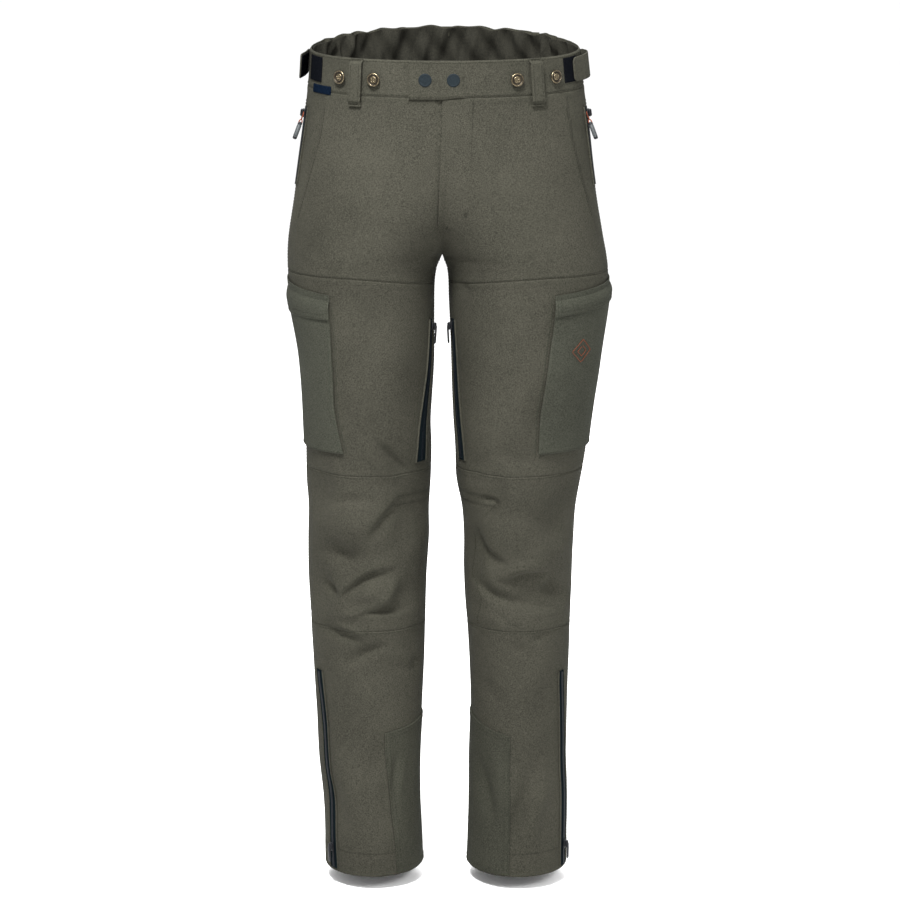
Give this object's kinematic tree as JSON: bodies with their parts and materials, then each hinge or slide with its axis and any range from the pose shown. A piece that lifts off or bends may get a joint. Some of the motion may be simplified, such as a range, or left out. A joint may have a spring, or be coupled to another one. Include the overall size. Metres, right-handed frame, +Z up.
{
  "type": "outdoor work trousers",
  "caption": "Long trousers with a snap-closed waistband, zipped fly, hand and thigh pockets, vent zips at the thighs, shaped knees and zipped hems.",
  "frame": {"origin": "middle of the waist opening, level with the top of the waistband at the side seams", "axes": "+Z up out of the waist opening, -Y to the front of the trousers, +X to the wearer's left"},
  "size_m": [0.4186, 0.2479, 1.112],
  "materials": {
    "shell_fabric": "matte olive twill",
    "panel_fabric": "matte darker olive ripstop",
    "lining": "matte dark lining",
    "zip_tape": "black woven tape with plastic teeth",
    "zip_metal": "black lacquered die casting",
    "snap_metal": "grey lacquered cap",
    "brass": "antique brass",
    "puller": "moulded grip on an orange cord"
  },
  "bodies": {
    "waist": {"waistband_front_right": "shell_fabric", "waistband_front_left": "shell_fabric", "waistband_back": "shell_fabric", "waist_elastic": "lining", "brace_button_1": "brass", "brace_button_2": "brass", "brace_button_3": "brass", "brace_button_4": "brass", "belt_loop_1": "shell_fabric", "belt_loop_2": "shell_fabric", "belt_loop_3": "shell_fabric", "belt_loop_4": "shell_fabric", "belt_loop_5": "shell_fabric", "fly_zip_tape": "zip_tape", "fly_shield": "lining", "hip_front_right": "shell_fabric", "seat_right": "shell_fabric", "groin_right": "shell_fabric", "hand_zip_tape_right": "zip_tape", "hand_pocket_bag_right": "lining", "hip_front_left": "shell_fabric", "seat_left": "shell_fabric", "groin_left": "shell_fabric", "hand_zip_tape_left": "zip_tape", "hand_pocket_bag_left": "lining"},
    "closure_tab": {"closure_tab": "shell_fabric", "snap_cap_1": "snap_metal", "snap_cap_2": "snap_metal"},
    "fly_slider": {"fly_slider": "zip_metal"},
    "back_pocket_flap": {"back_pocket_flap": "shell_fabric"},
    "adjuster_right": {"adjuster_tab_right": "shell_fabric"},
    "hand_zip_slider_right": {"hand_zip_slider_right": "zip_metal"},
    "hand_zip_puller_right": {"hand_zip_puller_right": "puller"},
    "thigh_right": {"thigh_front_right": "shell_fabric", "thigh_back_right": "shell_fabric", "knee_right": "panel_fabric", "cargo_pocket_right": "panel_fabric", "vent_zip_tape_right": "zip_tape"},
    "cargo_flap_right": {"cargo_flap_right": "panel_fabric"},
    "vent_slider_right": {"vent_zip_slider_right": "zip_metal"},
    "shin_right": {"shin_front_right": "shell_fabric", "shin_back_right": "shell_fabric", "kick_patch_right": "panel_fabric", "hem_zip_tape_right": "zip_tape"},
    "hem_slider_right": {"hem_zip_slider_right": "zip_metal"},
    "adjuster_left": {"adjuster_tab_left": "shell_fabric"},
    "hand_zip_slider_left": {"hand_zip_slider_left": "zip_metal"},
    "hand_zip_puller_left": {"hand_zip_puller_left": "puller"},
    "thigh_left": {"thigh_front_left": "shell_fabric", "thigh_back_left": "shell_fabric", "knee_left": "panel_fabric", "cargo_pocket_left": "panel_fabric", "vent_zip_tape_left": "zip_tape"},
    "cargo_flap_left": {"cargo_flap_left": "panel_fabric"},
    "vent_slider_left": {"vent_zip_slider_left": "zip_metal"},
    "shin_left": {"shin_front_left": "shell_fabric", "shin_back_left": "shell_fabric", "kick_patch_left": "panel_fabric", "hem_zip_tape_left": "zip_tape"},
    "hem_slider_left": {"hem_zip_slider_left": "zip_metal"}
  },
  "joints": [
    {"name": "hip_right", "type": "hinge", "parent": "waist", "child": "thigh_right", "pos_m": [-0.105, 0.004, -0.21], "axis": [-1, 0, 0], "range_deg": [-10, 45], "deforming": ["groin_right"]},
    {"name": "knee_right", "type": "hinge", "parent": "thigh_right", "child": "shin_right", "pos_m": [-0.1, 0, -0.65], "axis": [1, 0, 0], "range_deg": [0, 80], "deforming": ["knee_right"]},
    {"name": "hip_left", "type": "hinge", "parent": "waist", "child": "thigh_left", "pos_m": [0.105, 0.004, -0.21], "axis": [-1, 0, 0], "range_deg": [-10, 45], "deforming": ["groin_left"]},
    {"name": "knee_left", "type": "hinge", "parent": "thigh_left", "child": "shin_left", "pos_m": [0.1, 0, -0.65], "axis": [1, 0, 0], "range_deg": [0, 80], "deforming": ["knee_left"]},
    {"name": "closure_tab_fold", "type": "hinge", "parent": "waist", "child": "closure_tab", "pos_m": [0.0294, -0.1115, -0.034], "axis": [0, 0, 1], "range_deg": [0, 100]},
    {"name": "fly_zip", "type": "slide", "parent": "waist", "child": "fly_slider", "axis": [0, 0.02, -0.9998], "range_m": [0, 0.075]},
    {"name": "back_pocket_flap_fold", "type": "hinge", "parent": "waist", "child": "back_pocket_flap", "pos_m": [-0.118, 0.1005, -0.084], "axis": [0.829, 0.5593, 0], "range_deg": [0, 90]},
    {"name": "adjuster_fold_right", "type": "hinge", "parent": "waist", "child": "adjuster_right", "pos_m": [-0.1698, 0.004, -0.023], "axis": [0, 0, -1], "range_deg": [0, 70]},
    {"name": "hand_zip_right", "type": "slide", "parent": "waist", "child": "hand_zip_slider_right", "axis": [-0.14, 0.041, -0.9893], "range_m": [0, 0.072]},
    {"name": "hand_puller_right", "type": "hinge", "parent": "hand_zip_slider_right", "child": "hand_zip_puller_right", "pos_m": [-0.1826, -0.0228, -0.0891], "axis": [-0.272, 0.9591, 0.078], "range_deg": [0, 80]},
    {"name": "vent_zip_right", "type": "slide", "parent": "thigh_right", "child": "vent_slider_right", "axis": [-0.066, -0.091, -0.9937], "range_m": [0, 0.15]},
    {"name": "hem_zip_right", "type": "slide", "parent": "shin_right", "child": "hem_slider_right", "axis": [-0.046, 0.031, 0.9985], "range_m": [0, 0.2]},
    {"name": "cargo_flap_fold_right", "type": "hinge", "parent": "thigh_right", "child": "cargo_flap_right", "pos_m": [-0.192, -0.052, -0.2985], "axis": [-0.4718, 0.8817, 0], "range_deg": [0, 90]},
    {"name": "adjuster_fold_left", "type": "hinge", "parent": "waist", "child": "adjuster_left", "pos_m": [0.1698, 0.004, -0.023], "axis": [0, 0, 1], "range_deg": [0, 70]},
    {"name": "hand_zip_left", "type": "slide", "parent": "waist", "child": "hand_zip_slider_left", "axis": [0.14, 0.041, -0.9893], "range_m": [0, 0.072]},
    {"name": "hand_puller_left", "type": "hinge", "parent": "hand_zip_slider_left", "child": "hand_zip_puller_left", "pos_m": [0.1826, -0.0228, -0.0891], "axis": [-0.272, -0.9591, -0.078], "range_deg": [0, 80]},
    {"name": "vent_zip_left", "type": "slide", "parent": "thigh_left", "child": "vent_slider_left", "axis": [0.044, -0.048, -0.9979], "range_m": [0, 0.15]},
    {"name": "hem_zip_left", "type": "slide", "parent": "shin_left", "child": "hem_slider_left", "axis": [0.009, -0.034, 0.9994], "range_m": [0, 0.2]},
    {"name": "cargo_flap_fold_left", "type": "hinge", "parent": "thigh_left", "child": "cargo_flap_left", "pos_m": [0.192, -0.052, -0.2985], "axis": [-0.4718, -0.8817, 0], "range_deg": [0, 90]}
  ]
}
